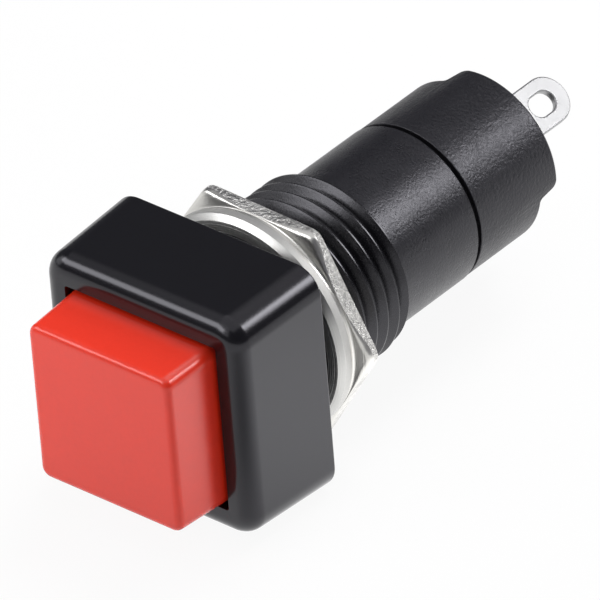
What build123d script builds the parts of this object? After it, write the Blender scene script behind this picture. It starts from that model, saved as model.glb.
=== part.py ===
from build123d import *
import os
from math import cos, hypot, radians, sin, tan

# A square-headed push button switch for a panel.  Millimetres.
# +Y runs from the button back to the solder lugs and is the switch's axis, +X is to the right
# and +Z up as the operator sees the panel.  The origin is on the axis, in the plane where the
# bezel seats on the panel.

# ---- driving dimensions: bezel -------------------------------------------------------------
bezel_depth = 7.2            # stands this far proud of the panel
bezel_width = 15.4           # square, across the flats at the panel
bezel_draft = 2.0            # degrees, each side narrows towards the front
bezel_corner_radius = 1.75
bezel_front_fillet = 1.15
bezel_back_fillet = 0.45
web_thickness = 1.2          # wall between the button's pocket and the neck

# ---- driving dimensions: button cap --------------------------------------------------------
cap_width = 10.65            # square, across the flats at the front
cap_draft = 2.3              # degrees, each side widens towards the back
cap_corner_radius = 0.7
cap_front_fillet = 0.45
cap_proud = 3.85             # front of the cap to the front of the bezel
cap_skirt_depth = 2.6        # how far the cap reaches into its pocket
cap_wall = 1.0
cap_front_wall = 1.3
cap_clearance = 0.08         # between the skirt's widest edge and the pocket
pocket_corner_radius = 0.15
boss_radius = 2.25
boss_relief = 0.4            # the boss stops short of the skirt's edge

# ---- driving dimensions: neck and barrel ---------------------------------------------------
thread_radius = 6.0          # outside of the threaded neck
thread_pitch = 1.0
thread_depth = 0.61
crest_width = 0.15
thread_start = 1.25          # first crest behind the panel seat
thread_turns = 9
neck_shoulder_radius = 6.05  # plain shoulder at the root of the neck, under the bezel
neck_shoulder_length = 0.4
barrel_radius = 5.33
barrel_length = 7.2          # smooth barrel behind the thread
bore_radius = 4.3
seam_bevel = 0.06            # each edge of the groove between barrel and rear base

# ---- driving dimensions: rear base ---------------------------------------------------------
base_radius = 5.29
base_spigot_depth = 3.32     # reaches this far forward into the barrel
base_clearance = 0.05        # spigot in the barrel's bore
groove_width = 0.26          # shadow gap left between the barrel and the base's body
groove_depth = 0.32
base_body_length = 4.28      # from the barrel's end to the floor inside the rim
base_rim_length = 1.6        # open rim behind the solid stretch
base_guard_length = 1.45     # two curved guards beyond the rim
guard_angle = 113.0          # degrees each guard goes round
guard_corner_radius = 0.25
rim_wall = 1.1
guard_bevel = 0.15
tail_hole_clearance = 0.3    # blind hole that the plunger's tail dips into
tail_hole_depth = 2.2

# ---- driving dimensions: plunger and its springs -------------------------------------------
travel = 2.5                 # full stroke of the button
overtravel = 0.6             # the contact spring gives this much after the contacts meet
stem_radius = 2.55
stem_clearance = 0.06        # stem in the web's hole
socket_radius = 1.3          # the stem's nose, pressed into the cap's boss
nose_length = 4.4
flange_radius = 4.1
flange_thickness = 1.5
flange_gap = 0.02            # flange behind the web at rest
spindle_shoulder_radius = 1.9
spindle_shoulder_length = 3.4
spindle_width = 1.9          # square spindle that carries the bridge
spindle_tail = 0.5           # spindle beyond the clip
return_wire = 0.45
return_spring_radius = 3.35
return_spring_turns = 6.3
contact_wire = 0.26
contact_spring_radius = 1.62
contact_spring_turns = 7.3

# ---- driving dimensions: contacts and terminals --------------------------------------------
lug_angle = 49.0             # degrees from +X towards +Z, the way the lugs' flats face
lug_offset = 2.8             # middle of a lug from the axis
lug_width = 3.05
lug_thickness = 0.5
lug_tip = 28.8               # tip of the lug behind the panel seat
lug_hole_setback = 2.05      # middle of the eye from the tip
lug_hole_length = 1.97
lug_hole_width = 1.38
slot_clearance = 0.03
foot_width = 2.4
foot_reach = 3.9             # how far from the axis the terminal's foot goes
contact_offset = 3.2         # contact rivets from the axis
fixed_contact_radius = 0.6
moving_contact_radius = 0.55
contact_height = 0.4
rivet_shank_radius = 0.3
bridge_length = 7.8
bridge_width = 3.4
bridge_thickness = 0.4
bridge_clearance = 0.05      # square hole over the spindle
clip_radius = 1.75
clip_thickness = 0.4
clip_mouth = 1.3
clip_bite = 0.25             # how deep the clip sits in the spindle

# ---- driving dimensions: panel nut and washer ----------------------------------------------
washer_front = 1.75          # the nut is spun up to this far behind the panel seat
washer_thickness = 0.92
washer_radius = 7.2
washer_front_bevel = 0.35
washer_back_bevel = 0.06
nut_thickness = 1.33
nut_flats = 14.3             # across the flats
nut_turn = 1.5               # degrees the hexagon is turned about the axis
nut_face_radius = 7.08       # turned face that bears on the washer
nut_face_height = 0.2
nut_chamfer = 22.0           # degrees, the turned front corners
nut_chamfer_radius = 7.1     # where the turned corners start on the front face
nut_back_bevel = 0.6
nut_bore_bevel = 0.2
nut_clearance = 0.08         # washer and nut bores over the thread's crests

# ---- values that follow from them ----------------------------------------------------------
bezel_front = -bezel_depth
bezel_front_width = bezel_width - 2 * bezel_depth * tan(radians(bezel_draft))
cap_front = bezel_front - cap_proud
cap_back = bezel_front + cap_skirt_depth
cap_back_width = cap_width + 2 * (cap_back - cap_front) * tan(radians(cap_draft))
cap_inner_front = cap_front + cap_front_wall
boss_back = cap_back - boss_relief
pocket_width = cap_back_width + 2 * cap_clearance
stem_hole_radius = stem_radius + stem_clearance

thread_root = thread_radius - thread_depth
flank = thread_depth * tan(radians(30))
thread_end = thread_start + (thread_turns - 1) * thread_pitch + crest_width / 2
barrel_back = thread_end + barrel_length

base_front = barrel_back - base_spigot_depth
body_front = barrel_back + groove_width
base_floor = barrel_back + base_body_length
base_rim = base_floor + base_rim_length
base_back = base_rim + base_guard_length
spigot_radius = bore_radius - base_clearance

foot_front = base_front - lug_thickness
fixed_contact_face = foot_front - contact_height
moving_contact_face = fixed_contact_face - (travel - overtravel)
bridge_back = moving_contact_face - contact_height
bridge_front = bridge_back - bridge_thickness
clip_front = bridge_back
spindle_back = clip_front + clip_thickness + spindle_tail
flange_front = flange_gap
flange_back = flange_front + flange_thickness
shoulder_back = flange_back + spindle_shoulder_length
nose_front = boss_back - nose_length
clip_groove_radius = spindle_width / 2 - clip_bite
bridge_hole = spindle_width + 2 * bridge_clearance
tail_hole_radius = spindle_width / 2 * 2**0.5 + tail_hole_clearance

washer_back = washer_front + washer_thickness
nut_front = washer_back + nut_face_height
nut_back = washer_back + nut_thickness
nut_corner_radius = nut_flats / 2 / cos(radians(30))
nut_bore_radius = thread_radius + nut_clearance

facing = Vector(cos(radians(lug_angle)), 0, sin(radians(lug_angle)))   # out of the lugs' flats
sideways = Vector(0, 1, 0).cross(facing)                               # across a lug


os.makedirs("parts", exist_ok=True)


def across(y):
    """Plane square to the switch's axis, seen from behind: x to the right, y down."""
    return Plane(origin=(0, y, 0), x_dir=(1, 0, 0), z_dir=(0, 1, 0))


def across_contacts(y):
    """The same plane, turned so that its x runs along the line of the contacts."""
    return Plane(origin=(0, y, 0), x_dir=facing, z_dir=(0, 1, 0))


def off_axis(point):
    """Distance of a point from the switch's axis."""
    return hypot(point.X, point.Z)


def ring_section(inner, outer, front, back):
    """Half section of a plain ring, drawn as radius against the axis."""
    with Locations((inner, front)):
        Rectangle(outer - inner, back - front, align=(Align.MIN, Align.MIN))


def write(piece, label):
    """Name a finished piece and write it to its own file."""
    piece.label = label
    export_step(piece, f"parts/{label}.step")
    print(label, "valid" if piece.is_valid else "NOT VALID", round(piece.volume, 3), "mm3")


def coil_spring(radius, wire, front, back, turns):
    """Compression spring with a closed coil at each end, seated between two faces."""
    first = front + wire / 2
    last = back - wire / 2
    with BuildPart() as spring:
        with BuildLine() as path:
            Helix((last - first) / turns, last - first, radius, center=(0, first, 0), direction=(0, 1, 0))
        with BuildSketch(Plane(origin=path.line @ 0, z_dir=path.line % 0)):
            Circle(wire / 2)
        sweep(path=path.line, is_frenet=True)
        for y in (first, last):
            with BuildSketch(Plane.XY):
                with Locations((radius, y)):
                    Circle(wire / 2)
            revolve(axis=Axis.Y)
    return spring.part


# ---- housing: square bezel, threaded neck and barrel, moulded in one -----------------------
with BuildPart() as bezel_housing:
    with BuildSketch(across(bezel_front)):
        RectangleRounded(bezel_front_width, bezel_front_width, bezel_corner_radius)
    with BuildSketch(across(0)):
        RectangleRounded(bezel_width, bezel_width, bezel_corner_radius)
    loft()
    fillet(bezel_housing.faces().sort_by(Axis.Y)[0].edges(), bezel_front_fillet)
    fillet(bezel_housing.faces().sort_by(Axis.Y)[-1].edges(), bezel_back_fillet)
    with BuildSketch(Plane.XY):
        with BuildLine():
            profile = [(0, -web_thickness / 2), (neck_shoulder_radius, -web_thickness / 2)]
            profile.append((neck_shoulder_radius, neck_shoulder_length))
            profile.append((thread_root, neck_shoulder_length))
            for turn in range(thread_turns):
                crest = thread_start + turn * thread_pitch
                profile.append((thread_root, crest - crest_width / 2 - flank))
                profile.append((thread_radius, crest - crest_width / 2))
                profile.append((thread_radius, crest + crest_width / 2))
                if turn < thread_turns - 1:
                    profile.append((thread_root, crest + crest_width / 2 + flank))
            profile.append((barrel_radius, thread_end))
            profile.append((barrel_radius, barrel_back - seam_bevel))
            profile.append((barrel_radius - seam_bevel, barrel_back))
            profile.append((0, barrel_back))
            Polyline(*profile, close=True)
        make_face()
    revolve(axis=Axis.Y)
    with BuildSketch(across(bezel_front)):
        RectangleRounded(pocket_width, pocket_width, pocket_corner_radius)
    extrude(amount=bezel_depth - web_thickness, mode=Mode.SUBTRACT)
    with BuildSketch(across(-web_thickness)):
        Circle(stem_hole_radius)
    extrude(amount=web_thickness, mode=Mode.SUBTRACT)
    with BuildSketch(across(0)):
        Circle(bore_radius)
    extrude(amount=barrel_back, mode=Mode.SUBTRACT)
write(bezel_housing.part, "bezel_housing")

# ---- button cap: hollow, with a boss that takes the plunger's nose -------------------------
with BuildPart() as button_cap:
    with BuildSketch(across(cap_front)):
        RectangleRounded(cap_width, cap_width, cap_corner_radius)
    with BuildSketch(across(cap_back)):
        RectangleRounded(cap_back_width, cap_back_width, cap_corner_radius)
    loft()
    fillet(button_cap.faces().sort_by(Axis.Y)[0].edges(), cap_front_fillet)
    with BuildSketch(across(cap_inner_front)):
        RectangleRounded(cap_width - 2 * cap_wall, cap_width - 2 * cap_wall, cap_corner_radius / 2)
    extrude(amount=cap_back - cap_inner_front, mode=Mode.SUBTRACT)
    with BuildSketch(across(cap_inner_front)):
        Circle(boss_radius)
        Circle(socket_radius, mode=Mode.SUBTRACT)
    extrude(amount=boss_back - cap_inner_front)
write(button_cap.part, "button_cap")

# ---- plunger: nose, stem, stop flange and square spindle, moulded in one -------------------
with BuildPart() as plunger:
    with BuildSketch(Plane.XY):
        ring_section(0, socket_radius, nose_front, boss_back)
        ring_section(0, stem_radius, boss_back, flange_front)
        ring_section(0, flange_radius, flange_front, flange_back)
        ring_section(0, spindle_shoulder_radius, flange_back, shoulder_back)
    revolve(axis=Axis.Y)
    with BuildSketch(across_contacts(shoulder_back)):
        Rectangle(spindle_width, spindle_width)
    extrude(amount=spindle_back - shoulder_back)
    with BuildSketch(across_contacts(clip_front)):
        Rectangle(spindle_width, spindle_width)
        Circle(clip_groove_radius, mode=Mode.SUBTRACT)
    extrude(amount=clip_thickness, mode=Mode.SUBTRACT)
write(plunger.part, "plunger")

# ---- springs: one returns the button, one presses the bridge onto the fixed contacts ---------
return_span = (cap_inner_front, -web_thickness)
write(coil_spring(return_spring_radius, return_wire, *return_span, return_spring_turns), "return_spring")
contact_span = (shoulder_back, bridge_front)
write(coil_spring(contact_spring_radius, contact_wire, *contact_span, contact_spring_turns), "contact_spring")

# ---- moving contacts -----------------------------------------------------------------------
with BuildPart() as contact_bridge:
    with BuildSketch(across_contacts(bridge_front)):
        SlotOverall(bridge_length, bridge_width)
        Rectangle(bridge_hole, bridge_hole, mode=Mode.SUBTRACT)
        with Locations((contact_offset, 0), (-contact_offset, 0)):
            Circle(rivet_shank_radius, mode=Mode.SUBTRACT)
    extrude(amount=bridge_thickness)
write(contact_bridge.part, "contact_bridge")

with BuildPart() as bridge_clip:
    with BuildSketch(across_contacts(clip_front)):
        Circle(clip_radius)
        Circle(clip_groove_radius, mode=Mode.SUBTRACT)
        with Locations((0, clip_radius / 2)):
            Rectangle(clip_mouth, clip_radius, mode=Mode.SUBTRACT)
    extrude(amount=clip_thickness)
write(bridge_clip.part, "bridge_clip")

# ---- rear base: plug, rim and two curved guards --------------------------------------------
with BuildPart() as rear_base:
    with BuildSketch(Plane.XY):
        with BuildLine():
            Polyline(
                (0, base_front),
                (spigot_radius, base_front),
                (spigot_radius, barrel_back),
                (base_radius - groove_depth, barrel_back),
                (base_radius - groove_depth, body_front),
                (base_radius - seam_bevel, body_front),
                (base_radius, body_front + seam_bevel),
                (base_radius, base_back),
                (base_radius - rim_wall, base_back),
                (base_radius - rim_wall, base_floor),
                (0, base_floor),
                close=True,
            )
        make_face()
    revolve(axis=Axis.Y)
    # the rim drops away between the guards
    half_gap = radians((180 - guard_angle) / 2)
    reach = 2 * base_radius
    with BuildSketch(across_contacts(base_rim)):
        for side in (1, -1):
            with BuildLine():
                edge = (reach * sin(half_gap), side * reach * cos(half_gap))
                Polyline((0, 0), edge, (-edge[0], edge[1]), close=True)
            make_face()
    extrude(amount=base_guard_length, mode=Mode.SUBTRACT)
    guard_ends = rear_base.edges().filter_by(GeomType.LINE).filter_by_position(Axis.Y, base_back, base_back)
    fillet(guard_ends, guard_corner_radius)
    back_edges = rear_base.edges().filter_by_position(Axis.Y, base_back - guard_corner_radius, base_back)
    chamfer(back_edges.filter_by(lambda edge: off_axis(edge @ 0.5) > base_radius - guard_bevel), guard_bevel)
    # slots for the two terminals and a blind hole for the plunger's tail
    with BuildSketch(across_contacts(base_front)):
        with Locations((lug_offset, 0), (-lug_offset, 0)):
            Rectangle(lug_thickness + 2 * slot_clearance, lug_width + 2 * slot_clearance)
    extrude(amount=base_floor - base_front, mode=Mode.SUBTRACT)
    with BuildSketch(across_contacts(base_front)):
        Circle(tail_hole_radius)
    extrude(amount=tail_hole_depth, mode=Mode.SUBTRACT)
write(rear_base.part, "rear_base")


def rivet(side, head_radius, strip, face):
    """Silver contact rivet: shank through a strip, from its far side, and a low head out to the face."""
    far, near = strip
    with BuildPart() as piece:
        with BuildSketch(Plane.XY):
            ring_section(0, rivet_shank_radius, min(far, near), max(far, near))
            ring_section(0, head_radius, min(near, face), max(near, face))
        revolve(axis=Axis.Y)
    return piece.part.moved(Location(facing * (side * contact_offset)))


def terminal(side):
    """Stamped and bent strip: foot under the fixed contact, blade through the base, eyed lug."""
    inner = lug_offset - lug_thickness / 2
    round_end = lug_tip - lug_width / 2
    flat = Plane(origin=facing * (side * inner), x_dir=sideways * side, z_dir=facing * side)
    with BuildPart() as strip:
        with BuildSketch(flat):
            with Locations((0, base_front)):
                Rectangle(foot_width, lug_thickness, align=(Align.CENTER, Align.MAX))
                Rectangle(lug_width, round_end - base_front, align=(Align.CENTER, Align.MIN))
            with Locations((0, round_end)):
                Circle(lug_width / 2)
            with Locations((0, lug_tip - lug_hole_setback)):
                SlotOverall(lug_hole_length, lug_hole_width, rotation=90, mode=Mode.SUBTRACT)
        extrude(amount=lug_thickness)
        with BuildSketch(across_contacts(foot_front)):
            with Locations((side * (inner + foot_reach) / 2, 0)):
                Rectangle(foot_reach - inner, foot_width)
        extrude(amount=lug_thickness)
        with BuildSketch(across_contacts(foot_front)):
            with Locations((side * contact_offset, 0)):
                Circle(rivet_shank_radius)
        extrude(amount=lug_thickness, mode=Mode.SUBTRACT)
    return strip.part


for place, side in (("upper", 1), ("lower", -1)):
    write(terminal(side), f"terminal_{place}")
    fixed = rivet(side, fixed_contact_radius, (base_front, foot_front), fixed_contact_face)
    write(fixed, f"fixed_contact_{place}")
    moving = rivet(side, moving_contact_radius, (bridge_front, bridge_back), moving_contact_face)
    write(moving, f"moving_contact_{place}")

# ---- panel washer and nut, run up the thread behind the bezel ------------------------------
with BuildPart() as panel_washer:
    with BuildSketch(Plane.XY) as section:
        ring_section(nut_bore_radius, washer_radius, washer_front, washer_back)
        outer_edges = section.vertices().group_by(Axis.X)[-1].sort_by(Axis.Y)
        chamfer(outer_edges[0], washer_front_bevel)
        chamfer(outer_edges[-1], washer_back_bevel)
    revolve(axis=Axis.Y)
write(panel_washer.part, "panel_washer")

chamfer_slope = tan(radians(nut_chamfer))
with BuildPart() as hex_nut:
    with BuildSketch(across(nut_front)):
        RegularPolygon(nut_corner_radius, 6, rotation=nut_turn)
    extrude(amount=nut_back - nut_front)
    with BuildSketch(Plane.XY):
        with BuildLine():
            Polyline(
                (0, nut_front),
                (nut_chamfer_radius, nut_front),
                (nut_corner_radius, nut_front + (nut_corner_radius - nut_chamfer_radius) * chamfer_slope),
                (nut_corner_radius, nut_back - nut_back_bevel * chamfer_slope),
                (nut_corner_radius - nut_back_bevel, nut_back),
                (0, nut_back),
                close=True,
            )
        make_face()
    revolve(axis=Axis.Y, mode=Mode.INTERSECT)
    with BuildSketch(across(washer_back)):
        Circle(nut_face_radius)
    extrude(amount=nut_face_height)
    with BuildSketch(across(washer_back)):
        Circle(nut_bore_radius)
    extrude(amount=nut_thickness, mode=Mode.SUBTRACT)
    chamfer(hex_nut.edges().filter_by(GeomType.CIRCLE).sort_by(SortBy.RADIUS)[:2], nut_bore_bevel)
write(hex_nut.part, "hex_nut")
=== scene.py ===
from math import atan2, cos, pi, radians, sin, tan

import bmesh
import bpy
from mathutils import Matrix, Vector


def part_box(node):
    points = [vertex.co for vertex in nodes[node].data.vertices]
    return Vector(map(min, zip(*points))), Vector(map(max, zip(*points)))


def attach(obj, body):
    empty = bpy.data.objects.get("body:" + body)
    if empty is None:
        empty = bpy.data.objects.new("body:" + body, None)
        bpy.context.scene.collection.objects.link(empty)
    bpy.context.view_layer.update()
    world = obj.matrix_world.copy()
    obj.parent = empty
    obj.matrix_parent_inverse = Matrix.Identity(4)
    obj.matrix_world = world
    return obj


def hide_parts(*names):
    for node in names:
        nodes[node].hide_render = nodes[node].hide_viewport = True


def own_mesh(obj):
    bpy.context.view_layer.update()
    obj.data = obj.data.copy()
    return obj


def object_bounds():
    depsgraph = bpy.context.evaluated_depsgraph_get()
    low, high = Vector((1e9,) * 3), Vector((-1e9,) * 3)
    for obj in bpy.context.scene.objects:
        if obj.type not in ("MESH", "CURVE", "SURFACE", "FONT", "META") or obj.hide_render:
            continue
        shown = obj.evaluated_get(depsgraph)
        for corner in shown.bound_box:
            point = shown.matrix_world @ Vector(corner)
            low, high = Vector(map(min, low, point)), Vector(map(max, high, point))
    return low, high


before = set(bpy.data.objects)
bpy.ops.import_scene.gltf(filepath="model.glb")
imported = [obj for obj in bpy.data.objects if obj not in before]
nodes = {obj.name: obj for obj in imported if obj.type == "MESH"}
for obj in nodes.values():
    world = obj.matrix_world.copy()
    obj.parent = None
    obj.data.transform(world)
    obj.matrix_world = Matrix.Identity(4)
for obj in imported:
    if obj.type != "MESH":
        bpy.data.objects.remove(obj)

# A square-headed push button switch for a panel.  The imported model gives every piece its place:
# +Y runs from the button back to the lugs, +X is to the right and +Z up.  Sizes are in millimetres.
MM = 0.001
cad_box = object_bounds()

# ---- camera --------------------------------------------------------------------------------
# A long lens, a little above the switch and to its right, turned a few degrees about its own
# axis, so that the square head comes forward and the barrel runs back to the upper right.
camera_azimuth = radians(42.567)
camera_height = radians(34.38)
camera_roll = radians(-4.725)
camera_distance = 826.4
camera_lens = 851.8
camera_sensor = 36
camera_near = 10               # nothing closer to the lens than this is drawn
camera_aim = Vector((-0.214, 6.726, -1.160))

level = Vector((cos(camera_azimuth), sin(camera_azimuth), 0))
towards_camera = Vector((
    sin(camera_azimuth) * cos(camera_height),
    -cos(camera_azimuth) * cos(camera_height),
    sin(camera_height),
))
camera_turn = Matrix.Rotation(camera_roll, 3, "Z")
camera_axes = Matrix((level, towards_camera.cross(level), towards_camera)).transposed() @ camera_turn
camera = bpy.data.objects.new("camera", bpy.data.cameras.new("camera"))
camera.data.lens = camera_lens
camera.data.sensor_width = camera_sensor
camera.data.clip_start = camera_near * MM
camera.location = (camera_aim + camera_distance * towards_camera) * MM
camera.rotation_euler = camera_axes.to_euler()
bpy.context.scene.collection.objects.link(camera)
bpy.context.scene.camera = camera

# ---- floor, lamps and surroundings ---------------------------------------------------------
# A white floor under the switch, in a dim room.  Lamps behind it and in front draw the highlights
# on its gloss, and fills that leave no reflection bring up the colours of its sides.


def node(tree, kind, inputs=None, **options):
    """Add a node, set its options, and give each input a value or a link."""
    made = tree.nodes.new(kind)
    for name, value in options.items():
        setattr(made, name, value)
    for name, value in (inputs or {}).items():
        if isinstance(value, bpy.types.NodeSocket):
            tree.links.new(value, made.inputs[name])
        else:
            made.inputs[name].default_value = value
    return made


def maths(tree, operation, *values):
    """One arithmetic node, with a value or a link for each of its inputs."""
    return node(tree, "ShaderNodeMath", dict(enumerate(values)), operation=operation).outputs[0]


def place_in_mm(tree):
    """A point's place on its own object, in millimetres."""
    place = node(tree, "ShaderNodeTexCoord").outputs["Object"]
    return node(tree, "ShaderNodeVectorMath", {0: place, "Scale": 1 / MM}, operation="SCALE").outputs[0]


def empty_material(name):
    """A material with only its output, and that output."""
    material = bpy.data.materials.new(name)
    material.use_nodes = True
    material.node_tree.nodes.clear()
    return material, node(material.node_tree, "ShaderNodeOutputMaterial")


floor_reach = 6.0              # metres each way from the axis
floor_white = (0.86, 0.86, 0.86)
painted_floor_pools = (                # painted pools of light and painted shade on the floor, seen only in its reflections
    ((17, 6), 26, 0.75),       # middle, reach and change of strength
    ((17, -18), 18, -0.45),
    ((-50, 70), 55, -0.9),
)
floor_shadow_share = 0.07      # how much of the floor's white comes from the lamps

floor_mesh = bpy.data.meshes.new("floor")
floor_height = cad_box[0][2]
corners = [
    (x * floor_reach, y * floor_reach, floor_height) for x, y in ((-1, -1), (1, -1), (1, 1), (-1, 1))]
floor_mesh.from_pydata(corners, [], [(0, 1, 2, 3)])
floor = bpy.data.objects.new("floor", floor_mesh)
bpy.context.scene.collection.objects.link(floor)

floor_finish, floor_output = empty_material("floor_white")
tree = floor_finish.node_tree
path = node(tree, "ShaderNodeLightPath")
in_mm = place_in_mm(tree)
painted_pool_change = 0.0
# Each pool paints light where its change is positive and shade where it is negative, into the glow that
# glossy rays see on the floor.
for (x, y), reach, change in painted_floor_pools:
    middle = (x, y, floor_height / MM)
    away = node(tree, "ShaderNodeVectorMath", {0: in_mm, 1: middle}, operation="DISTANCE").outputs["Value"]
    faded = {"Value": away, "From Min": 0.0, "From Max": reach, "To Min": change, "To Max": 0.0}
    fade = node(tree, "ShaderNodeMapRange", faded, interpolation_type="SMOOTHERSTEP")
    painted_pool_change = maths(tree, "ADD", fade.outputs[0], painted_pool_change)
strength = maths(tree, "MULTIPLY_ADD", painted_pool_change, path.outputs["Is Glossy Ray"], 1.0)
seen = maths(tree, "ADD", path.outputs["Is Camera Ray"], path.outputs["Is Glossy Ray"])
seen = maths(tree, "MINIMUM", maths(tree, "ADD", seen, path.outputs["Is Transmission Ray"]), 1.0)
lit = node(tree, "ShaderNodeBsdfDiffuse", {"Color": (*floor_white, 1)})
glow = node(tree, "ShaderNodeEmission", {"Color": (1, 1, 1, 1), "Strength": strength})
mixed = node(tree, "ShaderNodeMixShader", {
    0: maths(tree, "MULTIPLY", seen, 1 - floor_shadow_share), 1: lit.outputs[0], 2: glow.outputs[0]})
tree.links.new(mixed.outputs[0], floor_output.inputs["Surface"])
floor_mesh.materials.append(floor_finish)


def soft_lamp(name, direction, distance, width, height, power, lights="both"):
    """A rectangular soft lamp aimed at the switch, seen in its gloss, in its colours, or in both."""
    lamp = bpy.data.lights.new(name, "AREA")
    lamp.shape = "RECTANGLE"
    lamp.size = width
    lamp.size_y = height
    lamp.energy = power
    lamp_object = bpy.data.objects.new(name, lamp)
    towards = Vector(direction).normalized()
    lamp_object.location = camera_aim * MM + towards * distance
    lamp_object.rotation_euler = towards.to_track_quat("Z", "Y").to_euler()
    lamp_object.visible_camera = False
    lamp_object.visible_glossy = lights != "colour"
    lamp_object.visible_diffuse = lights != "gloss"
    bpy.context.scene.collection.objects.link(lamp_object)


# Each has its direction from the switch, then its distance, width and height in metres, then its power.
soft_lamp("lamp_behind_right", (0.545, 0.608, 0.578), 0.5, 0.18, 0.18, 1.05, "gloss")
soft_lamp("lamp_front_left", (-0.45, -0.645, 0.615), 0.16, 0.156, 0.05, 0.11, "gloss")
soft_lamp("lamp_front", (-0.1, -0.78, 0.62), 0.5, 0.34, 0.34, 0.3, "gloss")
soft_lamp("panel_left", (-0.87, -0.35, 0.34), 0.5, 0.25, 0.25, 0.19, "gloss")
soft_lamp("fill_near_left", (-0.37, -0.84, 0.4), 0.068, 0.02, 0.02, 0.0115, "colour")
soft_lamp("fill_low_right", (0.87, 0.45, -0.05), 0.06, 0.03, 0.005, 0.0105, "colour")
soft_lamp("fill_front_right", (0.62, -0.75, 0.2), 0.3, 0.1, 0.1, 0.03, "colour")
soft_lamp("fill_behind", (-0.1, 0.75, 0.6), 0.15, 0.08, 0.08, 0.11, "colour")
soft_lamp("fill_above", (0.0, 0.42, 0.9), 0.5, 0.2, 0.2, 1.0, "colour")
soft_lamp("fill_overhead", (0, 0, 1), 1.0, 1.4, 1.4, 4.0)

room_dim = (0.115, 0.115, 0.13, 1)
room_seen = (1, 1, 1, 1)       # behind the floor's far edge
world = bpy.data.worlds.new("room")
bpy.context.scene.world = world
world.use_nodes = True
world.node_tree.nodes.clear()
path = node(world.node_tree, "ShaderNodeLightPath")
room_light = {"Factor": path.outputs["Is Camera Ray"], 6: room_dim, 7: room_seen}
room = node(world.node_tree, "ShaderNodeMix", room_light, data_type="RGBA")
background = node(world.node_tree, "ShaderNodeBackground", {"Color": room.outputs[2]})
node(world.node_tree, "ShaderNodeOutputWorld", {"Surface": background.outputs[0]})
bpy.context.scene.view_settings.view_transform = "Standard"

# ---- housing -------------------------------------------------------------------------------
# Square bezel, threaded neck and smooth barrel, injection moulded in one piece of black plastic.
# The bezel comes from a polished cavity, the barrel from one with a fine spark-eroded grain.
bezel_front = -7.2
bezel_half_front = 7.4486
bezel_draft = radians(2.0)
bezel_corner = 1.75
bezel_front_fillet = 1.15
bezel_back_fillet = 0.15
pocket_half = 5.6666
pocket_corner = 0.15
pocket_lip = 0.05
web_front = -1.2
stem_hole = 2.61
shoulder_radius = 6.05
shoulder_back = 0.4
thread_root = 5.45
thread_flank = radians(38)      # between a flank and the plane square to the axis
thread_crest = 6.0
thread_pitch = 1.0
thread_end = 9.325
crest_width = 0.1
crest_at_right = 0.405          # a crest's place along Y where it faces +X, less whole turns
thread_rounding = 0.012
barrel_radius = 5.33
barrel_back = 16.525
seam_bevel = 0.06
bore_radius = 4.3
columns = 192                   # of the thread and of every turned ring that meets it
rows_a_turn = 24
turns_of_rows = 10              # enough turns of the helix to fill the neck from end to end
thread_weld = 1e-6              # metres, within which the sheet's points are joined
bezel_fillet_steps = 10
bezel_corner_steps = 14
lip_steps = 3
pocket_corner_steps = 4
level_slack = 1e-3              # how far a point may stand off a plane and still count as in it
moulded_sharp = 40              # degrees between two faces, past which a moulding's edge stays crisp


def group_inputs(tree, kinds):
    """Declare a node group's inputs, kind by kind, and return their sockets by name."""
    for kind, labels in kinds.items():
        for label in labels:
            tree.interface.new_socket(label, in_out="INPUT", socket_type="NodeSocket" + kind)
    return node(tree, "NodeGroupInput").outputs


def end_geometry(tree, geometry, finish):
    """End a geometry tree: its shape smooth, plain and in its finish."""
    tree.interface.new_socket("Geometry", in_out="OUTPUT", socket_type="NodeSocketGeometry")
    smooth = node(tree, "GeometryNodeSetShadeSmooth", {"Geometry": geometry})
    real = node(tree, "GeometryNodeRealizeInstances", {"Geometry": smooth.outputs[0]})
    painted = node(tree, "GeometryNodeSetMaterial", {"Geometry": real.outputs[0], "Material": finish})
    node(tree, "NodeGroupOutput", {"Geometry": painted.outputs[0]})


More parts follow.
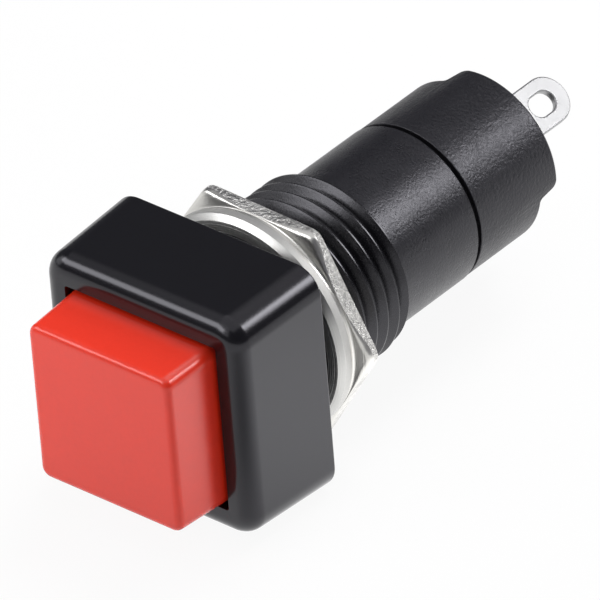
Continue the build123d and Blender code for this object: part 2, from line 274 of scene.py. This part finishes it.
def thread_tree():
    """A sleeve with a screw thread: a sheet rolled round the axis, its rows following the helix."""
    tree = bpy.data.node_groups.new("screw_thread", "GeometryNodeTree")
    given = group_inputs(tree, {
        "Float": ("Start", "End", "Pitch", "Root radius", "Crest radius", "Crest width", "Crest place",
                  "Flank slope", "Rounding", "Weld"),
        "Int": ("Columns", "Turns", "Rows a turn"),
        "Material": ("Finish",)})
    rows = maths(tree, "MULTIPLY_ADD", given["Turns"], given["Rows a turn"], 1.0)
    around = maths(tree, "ADD", given["Columns"], 1.0)
    sheet = node(tree, "GeometryNodeMeshGrid", {
        "Size X": 1.0, "Size Y": 1.0, "Vertices X": around, "Vertices Y": rows})
    spot = node(tree, "ShaderNodeSeparateXYZ", {0: node(tree, "GeometryNodeInputPosition").outputs[0]})
    turned = maths(tree, "ADD", spot.outputs["X"], 0.5)
    along = maths(tree, "ADD", spot.outputs["Y"], 0.5)
    angle = maths(tree, "MULTIPLY", turned, 2 * pi)
    length = maths(tree, "MULTIPLY", given["Turns"], given["Pitch"])
    run = maths(tree, "MULTIPLY_ADD", along, length, given["Start"])
    sheared = maths(tree, "SUBTRACT", run, maths(tree, "MULTIPLY", turned, given["Pitch"]))
    place = maths(tree, "MINIMUM", maths(tree, "MAXIMUM", sheared, given["Start"]), given["End"])
    turns_in = maths(tree, "DIVIDE", maths(tree, "SUBTRACT", place, given["Crest place"]), given["Pitch"])
    phase = maths(tree, "PINGPONG", maths(tree, "ADD", turns_in, turned), 0.5)
    half_crest = maths(tree, "MULTIPLY", given["Crest width"], 0.5)
    off_crest = maths(tree, "SUBTRACT", maths(tree, "MULTIPLY", phase, given["Pitch"]), half_crest)
    fallen = maths(tree, "MULTIPLY", off_crest, given["Flank slope"])
    flank = maths(tree, "SUBTRACT", given["Crest radius"], fallen)
    capped = maths(tree, "SMOOTH_MIN", flank, given["Crest radius"], given["Rounding"])
    radius = maths(tree, "SMOOTH_MAX", capped, given["Root radius"], given["Rounding"])
    rolled = node(tree, "ShaderNodeCombineXYZ", {
        "X": maths(tree, "MULTIPLY", radius, maths(tree, "COSINE", angle)),
        "Y": place,
        "Z": maths(tree, "MULTIPLY", radius, maths(tree, "SINE", angle))})
    sleeve = node(tree, "GeometryNodeSetPosition", {
        "Geometry": sheet.outputs["Mesh"], "Position": rolled.outputs[0]})
    closed = node(tree, "GeometryNodeMergeByDistance", {
        "Geometry": sleeve.outputs[0], "Distance": given["Weld"]})
    end_geometry(tree, closed.outputs[0], given["Finish"])
    return tree


def grown(name, tree, **sizes):
    """Run a geometry tree on an empty object and return the plain mesh that it grows."""
    seed = bpy.data.objects.new(name, bpy.data.meshes.new(name + "_seed"))
    bpy.context.scene.collection.objects.link(seed)
    grower = seed.modifiers.new(name, "NODES")
    grower.node_group = tree
    for item in tree.interface.items_tree:
        label = item.name.lower().replace(" ", "_")
        if item.in_out == "INPUT" and label in sizes:
            grower[item.identifier] = sizes[label]
    graph = bpy.context.evaluated_depsgraph_get()
    mesh = bpy.data.meshes.new_from_object(seed.evaluated_get(graph))
    bpy.data.objects.remove(seed)
    return mesh


def rounded_square(half, corner, steps):
    """Points round a square with round corners, as (x, z)."""
    points = []
    for quarter in range(4):
        middle = radians(45 + 90 * quarter)
        centre = Vector((cos(middle), sin(middle))) * (half - corner) * 2 ** 0.5
        for step in range(steps + 1):
            angle = middle + radians(90 * step / steps - 45)
            points.append(centre + corner * Vector((cos(angle), sin(angle))))
    return points


def ring(bm, points, y):
    """One closed ring of vertices in a plane square to the axis."""
    return [bm.verts.new((x * MM, y * MM, z * MM)) for x, z in points]


def circle(radius, count=columns):
    """Points round a circle, one for each column of the thread unless another count is given."""
    return [(radius * cos(2 * pi * i / count), radius * sin(2 * pi * i / count)) for i in range(count)]


def quarter_turn(steps):
    """Steps round a quarter circle: what is left of its first way and gone of its second, in radii."""
    return [(1 - sin(radians(90) * i / steps), 1 - cos(radians(90) * i / steps)) for i in range(steps + 1)]


def loft(bm, rings):
    """Skin a row of rings that have the same number of points."""
    for near, far in zip(rings, rings[1:]):
        for i in range(len(near)):
            j = (i + 1) % len(near)
            bm.faces.new((near[i], near[j], far[j], far[i]))


def cap_between(bm, *loops):
    """Fill the flat between closed rings."""
    edges = [bm.edges.get((loop[i], loop[i - 1])) for loop in loops for i in range(len(loop))]
    bmesh.ops.triangle_fill(bm, use_beauty=True, use_dissolve=False, edges=edges)


def bezel_ring(bm, y, inset):
    """A ring round the drafted bezel, drawn in from its sides where a fillet takes them away."""
    half = bezel_half_front + (y - bezel_front) * tan(bezel_draft)
    return ring(bm, rounded_square(half - inset, bezel_corner - inset, bezel_corner_steps), y)


def pocket_ring(bm, y, out):
    """A ring round the button's pocket, widened where its lip opens."""
    return ring(bm, rounded_square(pocket_half + out, pocket_corner + out, pocket_corner_steps), y)


def housing_skin(sleeve):
    """The whole moulding as one closed skin round the threaded sleeve."""
    bm = bmesh.new()
    bm.from_mesh(sleeve)
    fillet = quarter_turn(bezel_fillet_steps)
    outside = [
        bezel_ring(bm, bezel_front + bezel_front_fillet * gone, bezel_front_fillet * left)
        for left, gone in fillet]
    outside += [
        bezel_ring(bm, -bezel_back_fillet * left, bezel_back_fillet * gone)
        for left, gone in fillet]
    loft(bm, outside)

    pocket = [
        pocket_ring(bm, bezel_front + pocket_lip * gone, pocket_lip * left)
        for left, gone in quarter_turn(lip_steps)]
    pocket.append(pocket_ring(bm, web_front, 0))
    loft(bm, pocket)
    cap_between(bm, outside[0], pocket[0])

    bore = [ring(bm, circle(radius), y) for radius, y in (
        (stem_hole, web_front), (stem_hole, 0), (bore_radius, 0), (bore_radius, barrel_back),
        (barrel_radius - seam_bevel, barrel_back), (barrel_radius, barrel_back - seam_bevel),
        (barrel_radius, thread_end))]
    loft(bm, bore)
    cap_between(bm, pocket[-1], bore[0])
    shoulder = [ring(bm, circle(shoulder_radius), y) for y in (0, shoulder_back)]
    loft(bm, shoulder)
    cap_between(bm, outside[-1], shoulder[0])

    ends = {vert for edge in bm.edges if edge.is_boundary for vert in edge.verts}
    for made, y in ((shoulder[-1], shoulder_back), (bore[-1], thread_end)):
        free = [vert for vert in ends if abs(vert.co.y / MM - y) < level_slack and vert not in made]
        free.sort(key=lambda vert: round(atan2(vert.co.z, vert.co.x) / (2 * pi) * columns) % columns)
        loft(bm, (made, free))
    bmesh.ops.recalc_face_normals(bm, faces=bm.faces)
    for face in bm.faces:
        middle = face.calc_center_median().y / MM
        face.smooth = True
        face.material_index = (middle >= shoulder_back) + (middle >= thread_end - level_slack)
    return bm


def finished(name, bm, body, finishes, sharp):
    """Make a piece from its mesh: crisp edges kept, flats kept flat, finishes on, riding its body."""
    mesh = bpy.data.meshes.new(name)
    bm.to_mesh(mesh)
    bm.free()
    for finish in finishes:
        mesh.materials.append(finish)
    mesh.set_sharp_from_angle(angle=radians(sharp))
    piece = bpy.data.objects.new(name, mesh)
    bpy.context.scene.collection.objects.link(piece)
    weighted = piece.modifiers.new("flats", "WEIGHTED_NORMAL")
    weighted.keep_sharp = True
    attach(piece, body)
    return piece


def noise(tree, place, scale, detail, roughness):
    """Cloudy noise about a place, as one value."""
    return node(tree, "ShaderNodeTexNoise", {
        "Vector": place, "Scale": scale, "Detail": detail, "Roughness": roughness}).outputs[0]


def in_metres(tree, height, depth):
    """A height between 0 and 1, made as deep as the depth in millimetres says."""
    return maths(tree, "MULTIPLY", height, maths(tree, "MULTIPLY", depth, MM))


cloud_gain = 4.0               # noise strays from its middle by about a quarter


def end_skin(tree, given, fine, fine_share, broad, relief):
    """End a skin: gloss and shade clouded by its fine and broad noise, and relief as a normal."""
    for label, kind in (("Color", "Color"), ("Roughness", "Float"), ("Normal", "Vector")):
        tree.interface.new_socket(label, in_out="OUTPUT", socket_type="NodeSocket" + kind)
    broad_part = maths(tree, "MULTIPLY", broad, 1 - fine_share)
    strayed = maths(tree, "SUBTRACT", maths(tree, "MULTIPLY_ADD", fine, fine_share, broad_part), 0.5)
    clouds = maths(tree, "MULTIPLY", strayed, cloud_gain)
    rough = maths(tree, "MULTIPLY_ADD", clouds, given["Cloudiness"], given["Roughness"])
    tone = maths(tree, "MULTIPLY_ADD", clouds, given["Shade"], 1.0)
    tinted = node(tree, "ShaderNodeVectorMath", {0: given["Color"], "Scale": tone}, operation="SCALE")
    bump = node(tree, "ShaderNodeBump", {"Strength": 1.0, "Distance": 1.0, "Height": relief})
    node(tree, "NodeGroupOutput", {
        "Color": tinted.outputs[0], "Roughness": rough, "Normal": bump.outputs[0]})


def moulded_group():
    """Moulded plastic's skin: soft ripple, fine grain and cloudy gloss, from sizes in millimetres."""
    tree = bpy.data.node_groups.new("moulded_skin", "ShaderNodeTree")
    given = group_inputs(tree, {
        "Color": ("Color",),
        "Float": ("Roughness", "Cloudiness", "Shade", "Grain size", "Grain depth", "Ripple size",
                  "Ripple depth")})
    in_mm = place_in_mm(tree)
    fine = noise(tree, in_mm, maths(tree, "DIVIDE", 1.0, given["Grain size"]), 3.0, 0.6)
    broad = noise(tree, in_mm, maths(tree, "DIVIDE", 1.0, given["Ripple size"]), 2.0, 0.5)
    ripple = in_metres(tree, broad, given["Ripple depth"])
    relief = maths(tree, "ADD", in_metres(tree, fine, given["Grain depth"]), ripple)
    end_skin(tree, given, fine, 0.6, broad, relief)
    return tree


def covered(name, skin_tree, skin_inputs, surface_inputs):
    """A material whose colour, gloss and normal come from a skin, and whose other numbers are fixed."""
    material, output = empty_material(name)
    tree = material.node_tree
    skin = node(tree, "ShaderNodeGroup", skin_inputs, node_tree=skin_tree).outputs
    surface = node(tree, "ShaderNodeBsdfPrincipled", {
        "Base Color": skin["Color"], "Roughness": skin["Roughness"], "Normal": skin["Normal"],
        **surface_inputs})
    tree.links.new(surface.outputs[0], output.inputs["Surface"])
    return material


moulded_skin = moulded_group()


def plastic(name, color, roughness, cloudiness, grain, ripple, shade, ior=1.5, tint=(1, 1, 1)):
    """Moulded plastic of one colour, with its own gloss, and its grain and ripple as (size, depth)."""
    return covered(name, moulded_skin, {
        "Color": (*color, 1), "Roughness": roughness, "Cloudiness": cloudiness, "Shade": shade,
        "Grain size": grain[0], "Grain depth": grain[1],
        "Ripple size": ripple[0], "Ripple depth": ripple[1]}, {"IOR": ior, "Specular Tint": (*tint, 1)})


black_sheen = {"ior": 1.54, "tint": (0.93, 0.92, 1.0)}
gloss_black = plastic(
    "polished_black", (0.0045, 0.0044, 0.0056), 0.2, 0.01, (0.3, 0.0002), (5.0, 0.004), 0.05, **black_sheen)
thread_black = plastic(
    "thread_black", (0.0045, 0.0044, 0.0053), 0.27, 0.05, (0.16, 0.006), (3.0, 0.0), 0.1, **black_sheen)
barrel_black = plastic(
    "grained_black", (0.009, 0.0088, 0.0108), 0.31, 0.1, (0.16, 0.026), (1.6, 0.03), 0.2, **black_sheen)
sleeve = grown(
    "thread", thread_tree(), start=shoulder_back * MM, end=thread_end * MM, pitch=thread_pitch * MM,
    root_radius=thread_root * MM, crest_radius=thread_crest * MM, crest_width=crest_width * MM,
    crest_place=crest_at_right * MM, flank_slope=1 / tan(thread_flank), rounding=thread_rounding * MM,
    weld=thread_weld, columns=columns, turns=turns_of_rows, rows_a_turn=rows_a_turn, finish=thread_black)
housing = finished(
    "housing_moulding", housing_skin(sleeve), "housing", (gloss_black, thread_black, barrel_black),
    moulded_sharp)
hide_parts("bezel_housing")


def dress(name, finish):
    """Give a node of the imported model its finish."""
    nodes[name].data.materials.clear()
    nodes[name].data.materials.append(finish)


cap_red = plastic("polished_red", (0.87, 0.034, 0.011), 0.24, 0.01, (0.3, 0.0002), (5.0, 0.003), 0.03, 1.6)
dress("button_cap", cap_red)

# ---- rear base -----------------------------------------------------------------------------
# Black plug pushed into the back of the barrel, grained like it, that holds the two terminals.
# Behind its rim stand two curved guards, which rise from it and end in soft, moulded corners.
base_radius = 5.29
spigot_radius = 4.25
spigot_length = 3.32           # in the barrel's bore
groove_width = 0.33            # left between the barrel and the base
groove_depth = 0.32
floor_length = 4.28            # from the barrel's back to the floor that the terminals stand on
rim_height = 1.6
guard_height = 1.45
base_front = barrel_back - spigot_length
body_front = barrel_back + groove_width
base_floor = barrel_back + floor_length
base_rim = base_floor + rim_height
base_back = base_rim + guard_height
rim_wall = 1.1
lug_angle = radians(49)        # the way that the guards' middles and the lugs' flats face
guard_half = radians(113 / 2)
guard_foot = 0.25              # radius where a guard rises from the rim
guard_corner = 0.36            # radius of a guard's corners
guard_lean = 0.3               # how far a guard's end leans over its height
guard_rounding = 0.17
slot_offset = 2.8              # middle of a terminal's slot from the axis
slot_half_thickness = 0.28
slot_half_width = 1.555
tail_hole_radius = 1.643
tail_hole_depth = 2.2
tail_hole_sides = 40
edge_steps = 4                 # along the rounding of an edge
edge_share = 0.45              # of a side, the most that the rounding at one end may take
guard_steps = (12, 8, 20)      # along half a gap, a foot or a corner, and half a guard


def rounded_profile(corners):
    """Turn corners of (radius, y, rounding, finish) into points of (radius, y, finish)."""
    points = []
    for i, (radius, y, rounding, finish) in enumerate(corners):
        if rounding == 0:
            points.append((radius, y, finish))
            continue
        corner = Vector((radius, y))
        before = Vector(corners[i - 1][:2]) - corner
        after = Vector(corners[(i + 1) % len(corners)][:2]) - corner
        reach = min(
            rounding / tan(before.angle(after) / 2), edge_share * before.length, edge_share * after.length)
        start = corner + before.normalized() * reach
        end = corner + after.normalized() * reach
        for step in range(edge_steps + 1):
            along = step / edge_steps
            bent = (1 - along) ** 2 * start + 2 * along * (1 - along) * corner + along ** 2 * end
            points.append((bent.x, bent.y, finish if step == edge_steps else corners[i - 1][3]))
    return points


def turned_skin(angles, profile_at, closed=True):
    """Skin a profile round the axis, with one row of it at each angle."""
    bm = bmesh.new()
    loops = []
    for angle in angles:
        profile = profile_at(angle)
        loops.append([
            bm.verts.new((r * cos(angle) * MM, y * MM, r * sin(angle) * MM)) for r, y, finish in profile])
    for near, far in zip(loops, loops[1:] + loops[:1]):
        for j in range(len(near) - (not closed)):
            k = (j + 1) % len(near)
            face = bm.faces.new((near[j], near[k], far[k], far[j]))
            face.material_index = profile[j][2]
            face.smooth = True
    bmesh.ops.recalc_face_normals(bm, faces=bm.faces)
    return bm


def guard_quarter():
    """Angle from a guard's end and height of the rim, from the middle of a gap to a guard's middle."""
    gap_steps, end_steps, top_steps = guard_steps
    round_end = quarter_turn(end_steps)
    places = [(-guard_foot * left, guard_foot * gone) for left, gone in round_end]
    places += [(guard_corner * gone, guard_height - guard_corner * left) for left, gone in round_end]
    end = [
        ((along + guard_lean * (rise / guard_height - 0.5)) / base_radius, base_rim + rise)
        for along, rise in places]
    gap_middle = guard_half - radians(90)
    foot, top = end[0][0], end[-1][0]
    gap = [(gap_middle + (foot - gap_middle) * i / gap_steps, base_rim) for i in range(gap_steps)]
    guard = [(top + (guard_half - top) * i / top_steps, base_back) for i in range(1, top_steps + 1)]
    return gap + end + guard


def base_skin():
    """The plug as one closed skin: turned outside, slotted for the terminals, hollow behind its floor."""
    quarter = guard_quarter()
    rim_at = {}
    for guard in (0, 1):
        middle = lug_angle + pi * guard
        for away, y in quarter[:0:-1]:
            rim_at[middle + guard_half - away] = y
        for away, y in quarter[:-1]:
            rim_at[middle + pi - guard_half + away] = y

    def profile(angle):
        return rounded_profile((
            (spigot_radius, base_front, 0, 0),
            (spigot_radius, barrel_back, 0, 0),
            (base_radius - groove_depth, barrel_back, 0, 0),
            (base_radius - groove_depth, body_front, 0, 0),
            (base_radius, body_front, seam_bevel, 0),
            (base_radius, rim_at[angle], guard_rounding, 0),
            (base_radius - rim_wall, rim_at[angle], guard_rounding / 2, 0),
            (base_radius - rim_wall, base_floor, 0, 0)))

    bm = turned_skin(sorted(rim_at), profile, False)
    facing = Vector((cos(lug_angle), sin(lug_angle)))
    sideways = Vector((-facing.y, facing.x))
    for side in (1, -1):
        slot = [
            facing * (side * slot_offset + across * slot_half_thickness)
            + sideways * (along * slot_half_width)
            for across, along in ((1, 1), (1, -1), (-1, -1), (-1, 1))]
        loft(bm, [ring(bm, slot, y) for y in (base_front, base_floor)])
    tail = circle(tail_hole_radius, tail_hole_sides)
    hole = [ring(bm, tail, y) for y in (base_front, base_front + tail_hole_depth)]
    loft(bm, hole)
    bm.faces.new(hole[-1])
    for y in (base_front, base_floor):
        edges = [edge for edge in bm.edges
                 if edge.is_boundary and all(abs(vert.co.y / MM - y) < level_slack for vert in edge.verts)]
        bmesh.ops.triangle_fill(bm, use_beauty=True, use_dissolve=False, edges=edges)
    bmesh.ops.recalc_face_normals(bm, faces=bm.faces)
    return bm


base_black = plastic(
    "base_black", (0.009, 0.0088, 0.0108), 0.34, 0.1, (0.2, 0.042), (1.6, 0.03), 0.2, **black_sheen)
base = finished("guarded_base", base_skin(), "housing", (base_black,), moulded_sharp)
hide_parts("rear_base")

# ---- washer --------------------------------------------------------------------------------
# A thick washer turned from brass bar and nickel plated.  Its front edge is bevelled, and the
# lathe's tool has left fine rings on every face.
washer_low, washer_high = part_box("panel_washer")
washer_front = washer_low.y / MM
washer_back = washer_high.y / MM
washer_radius = washer_high.x / MM
washer_bevel = 0.35
washer_break = 0.05            # how far its other edges are broken
washer_bore = 6.08
washer_columns = 256
worked_sharp = 35              # degrees, as for a moulding's edges


def worked_group():
    """Worked metal's skin: grain, the lathe's rings round the axis, and a cloudy, tarnished polish."""
    tree = bpy.data.node_groups.new("worked_skin", "ShaderNodeTree")
    given = group_inputs(tree, {
        "Color": ("Color",),
        "Float": ("Roughness", "Cloudiness", "Shade", "Grain size", "Grain depth", "Ring width",
                  "Ring depth")})
    in_mm = place_in_mm(tree)
    grain = noise(tree, in_mm, maths(tree, "DIVIDE", 1.0, given["Grain size"]), 2.5, 0.62)
    broad = noise(tree, in_mm, 0.45, 3.0, 0.55)
    across = node(tree, "ShaderNodeVectorMath", {0: in_mm, 1: (1, 0, 1)}, operation="MULTIPLY").outputs[0]
    radius = node(tree, "ShaderNodeVectorMath", {0: across}, operation="LENGTH").outputs["Value"]
    axial = node(tree, "ShaderNodeSeparateXYZ", {0: in_mm}).outputs["Y"]
    feed = maths(tree, "DIVIDE", maths(tree, "ADD", radius, axial), given["Ring width"])
    lines = {"W": feed, "Scale": 1.0, "Detail": 2.0}
    rings = node(tree, "ShaderNodeTexNoise", lines, noise_dimensions="1D").outputs[0]
    pits = in_metres(tree, grain, given["Grain depth"])
    relief = maths(tree, "ADD", in_metres(tree, rings, given["Ring depth"]), pits)
    end_skin(tree, given, grain, 0.5, broad, relief)
    return tree


worked_skin = worked_group()


def metal(name, color, roughness, cloudiness, grain, rings=(0.1, 0.0), tarnish=0.06):
    """Plated or bare metal of one colour and polish, with its grain and rings as (size, depth)."""
    return covered(name, worked_skin, {
        "Color": (*color, 1), "Roughness": roughness, "Cloudiness": cloudiness, "Shade": tarnish,
        "Grain size": grain[0], "Grain depth": grain[1],
        "Ring width": rings[0], "Ring depth": rings[1]}, {"Metallic": 1.0})


def washer_profile(angle):
    """The washer's section, the same all the way round."""
    return rounded_profile((
        (washer_bore, washer_front, washer_break, 0),
        (washer_radius - washer_bevel, washer_front, washer_break, 1),
        (washer_radius, washer_front + washer_bevel, washer_break, 2),
        (washer_radius, washer_back, washer_break, 0),
        (washer_bore, washer_back, washer_break, 0)))


# One nickel plate in three polishes. The bevel's tone is set darker than the face's and the side's, as
# painted shade that dims its reflections.
faced_nickel = metal("faced_nickel", (0.58, 0.58, 0.57), 0.5, 0.06, (0.2, 0.03), (0.12, 0.055), 0.2)
bevel_nickel = metal("bevel_nickel", (0.53, 0.528, 0.515), 0.34, 0.06, (0.12, 0.004), (0.09, 0.006))
side_nickel = metal("side_nickel", (0.6, 0.595, 0.58), 0.62, 0.06, (0.2, 0.01), (0.09, 0.006), 0.1)
washer_angles = [2 * pi * i / washer_columns for i in range(washer_columns)]
washer = finished(
    "turned_washer", turned_skin(washer_angles, washer_profile), "washer",
    (faced_nickel, bevel_nickel, side_nickel), worked_sharp)
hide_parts("panel_washer")

# ---- nut -----------------------------------------------------------------------------------
# Sawn from hexagonal brass bar, turned on its faces, threaded and nickel plated.  The flats keep
# the drawn bar's coarse grain; the bearing face, the coned corners and the thread are turned.
nut_low, nut_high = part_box("hex_nut")
nut_seat = nut_low.y / MM
nut_back = nut_high.y / MM
nut_flats = 14.3
nut_turn = radians(-1.5)
nut_face_radius = 7.08         # turned face that bears on the washer
nut_face_height = 0.28
nut_face_edge = 0.06
nut_face_fillet = 0.3          # hollow rounding from the bearing face to the cone
nut_cone_start = 7.1
nut_cone = tan(radians(16))
nut_edge = 0.5                 # rounding where the front cone meets the flats
nut_corner_power = 44          # the higher, the sharper the hexagon's corners
nut_back_start = 7.9           # where the back corners start to fall away
nut_back_edge = 0.2
nut_rim_edge = 0.05            # rounding at the rim of the back face
nut_mouth = 6.28
nut_mouth_depth = 0.2
nut_mouth_edge = 0.02
nut_thread_gap = 0.05          # between the nut's thread and the neck's
nut_thread_rows = 24
nut_side_columns = 44


def neck_radius(angle, y):
    """The neck's thread as the nut meets it: its radius at a place round and along the axis."""
    turns = (y - crest_at_right) / thread_pitch + angle / (2 * pi)
    off_crest = abs(turns - round(turns)) * thread_pitch - crest_width / 2
    return min(max(thread_crest - off_crest / tan(thread_flank), thread_root), thread_crest)


def nut_profile(angle):
    """The nut's section at an angle: seat, cone, flat, back cone and back, then the thread."""
    spread = sum(
        max(cos(angle - nut_turn - radians(30 + 60 * side)), 0) ** nut_corner_power for side in range(6))
    hexagon = nut_flats / 2 / spread ** (1 / nut_corner_power)
    back_inset = max(nut_back_edge, hexagon - nut_back_start)
    nut_front = nut_seat + nut_face_height
    profile = rounded_profile((
        (nut_mouth, nut_seat, nut_mouth_edge, 0),
        (nut_face_radius, nut_seat, nut_face_edge, 0),
        (nut_face_radius, nut_front, nut_face_fillet, 0),
        (hexagon, nut_front + (hexagon - nut_cone_start) * nut_cone, nut_edge, 1),
        (hexagon, nut_back - back_inset * nut_cone, nut_back_edge, 0),
        (hexagon - back_inset, nut_back, nut_rim_edge, 0),
        (nut_mouth, nut_back, nut_mouth_edge, 0)))
    bore = []
    for row in range(nut_thread_rows + 1):
        y = nut_back - nut_mouth_depth - (nut_back - nut_seat - 2 * nut_mouth_depth) * row / nut_thread_rows
        bore.append((neck_radius(angle, y) + nut_thread_gap, y, 0))
    return profile + bore


def nut_angles():
    """Angles round the nut, closer together towards its corners."""
    angles = []
    for side in range(6):
        for column in range(nut_side_columns):
            along = 2 * column / nut_side_columns - 1
            bunched = (along + sin(along * pi / 2)) / 2
            angles.append(nut_turn + radians(30 + 60 * side + 30 * bunched))
    return angles


turned_face = metal("turned_nut_face", (0.7, 0.69, 0.66), 0.3, 0.05, (0.12, 0.003), (0.12, 0.006))
drawn_flat = metal("drawn_nut_flat", (0.68, 0.67, 0.65), 0.42, 0.1, (0.26, 0.28), (0.1, 0.0), 0.55)
nut = finished(
    "threaded_nut", turned_skin(nut_angles(), nut_profile), "nut", (turned_face, drawn_flat),
    worked_sharp)
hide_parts("hex_nut")

# ---- terminals and contacts ----------------------------------------------------------------
# Two strips stamped from tinned brass sheet stand in the base's slots, each with an eye for its wire
# behind and a foot in front.  Silver rivets closed on the feet, and on the brass bridge that joins
# them, are the contacts.
tinned_flat = metal("tinned_brass", (0.64, 0.64, 0.645), 0.6, 0.05, (0.5, 0.004), (0.1, 0.0), 0.03)
# The rounded edges take the same tin painted darker: painted shade along each strip's rim.
tinned_edge = metal("tinned_edge", (0.5, 0.5, 0.505), 0.45, 0.05, (0.3, 0.004), (0.1, 0.0), 0.05)
stamped_edge = 0.12
stamped_edge_steps = 3
stamped_corner = radians(40)   # between two faces, from which their edge is rounded
stamped_weld = 1e-7            # metres, within which a strip's points are joined
level_with_flat = 0.99         # how far a face looks the flats' way, to be finished as a flat
strip_way = Vector((cos(lug_angle), 0, sin(lug_angle)))


def strip_skin(stands_for):
    """A copy of a strip's plain solid, with its sharp edges rounded and told apart from its flats, for the
    painted shade on the edges.
    """
    bm = bmesh.new()
    bm.from_mesh(nodes[stands_for].data)
    bm.transform(nodes[stands_for].matrix_world)
    bmesh.ops.remove_doubles(bm, verts=bm.verts, dist=stamped_weld)
    bmesh.ops.dissolve_limit(bm, angle_limit=radians(1), verts=bm.verts, edges=bm.edges)
    corners = [edge for edge in bm.edges if edge.calc_face_angle(0) > stamped_corner]
    bmesh.ops.bevel(
        bm, geom=corners, offset=stamped_edge * MM, segments=stamped_edge_steps, profile=0.5,
        affect="EDGES", clamp_overlap=False)
    bmesh.ops.remove_doubles(bm, verts=bm.verts, dist=stamped_weld)
    bmesh.ops.dissolve_degenerate(bm, dist=stamped_weld, edges=bm.edges)
    for face in bm.faces:
        face.smooth = True
        face.material_index = int(abs(face.normal.dot(strip_way)) < level_with_flat)
    return bm


for place in ("upper", "lower"):
    terminal = finished(
        f"stamped_terminal_{place}", strip_skin(f"terminal_{place}"), "housing", (tinned_flat, tinned_edge),
        worked_sharp)
    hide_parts(f"terminal_{place}")
silver = metal("contact_silver", (0.86, 0.85, 0.82), 0.25, 0.04, (0.15, 0.002))
for name in ("fixed_contact_upper", "fixed_contact_lower", "moving_contact_upper", "moving_contact_lower"):
    dress(name, silver)
rolled_brass = metal("rolled_brass", (0.78, 0.6, 0.3), 0.3, 0.05, (0.2, 0.003), (0.1, 0.0), 0.1)
dress("contact_bridge", rolled_brass)

# ---- plunger -------------------------------------------------------------------------------
# Moulded in plastic of its natural colour.  Its nose is pressed into the cap, its flange stops it
# behind the bezel's web, and its square spindle carries the bridge.
natural_plastic = plastic("natural_plastic", (0.7, 0.67, 0.6), 0.38, 0.04, (0.3, 0.003), (4.0, 0.006), 0.04)
dress("plunger", natural_plastic)

# ---- springs and clip ----------------------------------------------------------------------
# Compression springs coiled from drawn steel wire, each with its last coil at both ends closed up.
# One returns the button, the other presses the bridge on; a stamped clip holds the bridge.
return_wire = 0.45
return_turns = 8.3
contact_wire = 0.26
contact_turns = 9.3
coil_steps = 40                # along one turn of wire
wire_sides = 12
wire_sharp = 60                # degrees, so that only the wire's cut ends stay crisp


def coil_tree():
    """A compression spring round the axis: open coils between one closed coil at each end."""
    tree = bpy.data.node_groups.new("compression_spring", "GeometryNodeTree")
    given = group_inputs(tree, {
        "Float": ("Front", "Back", "Coil radius", "Wire radius", "Turns"),
        "Int": ("Steps", "Sides"),
        "Material": ("Finish",)})
    line = node(tree, "GeometryNodeCurvePrimitiveLine")
    stepped = node(tree, "GeometryNodeResampleCurve", {"Curve": line.outputs[0], "Count": given["Steps"]})
    along = node(tree, "GeometryNodeSplineParameter").outputs["Factor"]
    turned = maths(tree, "MULTIPLY", along, given["Turns"])
    wire = maths(tree, "MULTIPLY", given["Wire radius"], 2.0)
    first = maths(tree, "ADD", given["Front"], given["Wire radius"])
    last = maths(tree, "SUBTRACT", given["Back"], given["Wire radius"])
    closed_front = maths(tree, "MULTIPLY_ADD", turned, wire, first)
    turns_left = maths(tree, "SUBTRACT", given["Turns"], turned)
    closed_back = maths(tree, "SUBTRACT", last, maths(tree, "MULTIPLY", turns_left, wire))
    closed_length = maths(tree, "MULTIPLY", wire, 2.0)
    open_length = maths(tree, "SUBTRACT", maths(tree, "SUBTRACT", last, first), closed_length)
    open_pitch = maths(tree, "DIVIDE", open_length, maths(tree, "SUBTRACT", given["Turns"], 2.0))
    open_turned = maths(tree, "SUBTRACT", turned, 1.0)
    opened = maths(tree, "MULTIPLY_ADD", open_turned, open_pitch, maths(tree, "ADD", first, wire))
    place = maths(tree, "MINIMUM", maths(tree, "MAXIMUM", closed_front, opened), closed_back)
    angle = maths(tree, "MULTIPLY", turned, 2 * pi)
    wound = node(tree, "ShaderNodeCombineXYZ", {
        "X": maths(tree, "MULTIPLY", given["Coil radius"], maths(tree, "COSINE", angle)),
        "Y": place,
        "Z": maths(tree, "MULTIPLY", given["Coil radius"], maths(tree, "SINE", angle))})
    coiled = node(tree, "GeometryNodeSetPosition", {
        "Geometry": stepped.outputs[0], "Position": wound.outputs[0]})
    section = node(tree, "GeometryNodeCurvePrimitiveCircle", {
        "Resolution": given["Sides"], "Radius": given["Wire radius"]})
    wired = node(tree, "GeometryNodeCurveToMesh", {
        "Curve": coiled.outputs[0], "Profile Curve": section.outputs[0], "Fill Caps": True})
    end_geometry(tree, wired.outputs[0], given["Finish"])
    return tree


spring_steel = metal("spring_steel", (0.56, 0.56, 0.55), 0.28, 0.05, (0.15, 0.002), (0.1, 0.0), 0.08)
dress("bridge_clip", spring_steel)
spring_coil = coil_tree()


def spring(label, stands_for, wire, turns, body):
    """One spring in the place of its plain solid, with one closed coil at each end."""
    low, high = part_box(stands_for)
    mesh = grown(
        label, spring_coil, front=low.y, back=high.y, coil_radius=high.x - wire * MM / 2,
        wire_radius=wire * MM / 2, turns=turns, steps=int(turns * coil_steps), sides=wire_sides,
        finish=spring_steel)
    bm = bmesh.new()
    bm.from_mesh(mesh)
    piece = finished(label, bm, body, (spring_steel,), wire_sharp)
    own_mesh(piece)
    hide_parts(stands_for)


spring(
    "coiled_return_spring", "return_spring", return_wire, return_turns, "housing")
spring(
    "coiled_contact_spring", "contact_spring", contact_wire, contact_turns, "button")
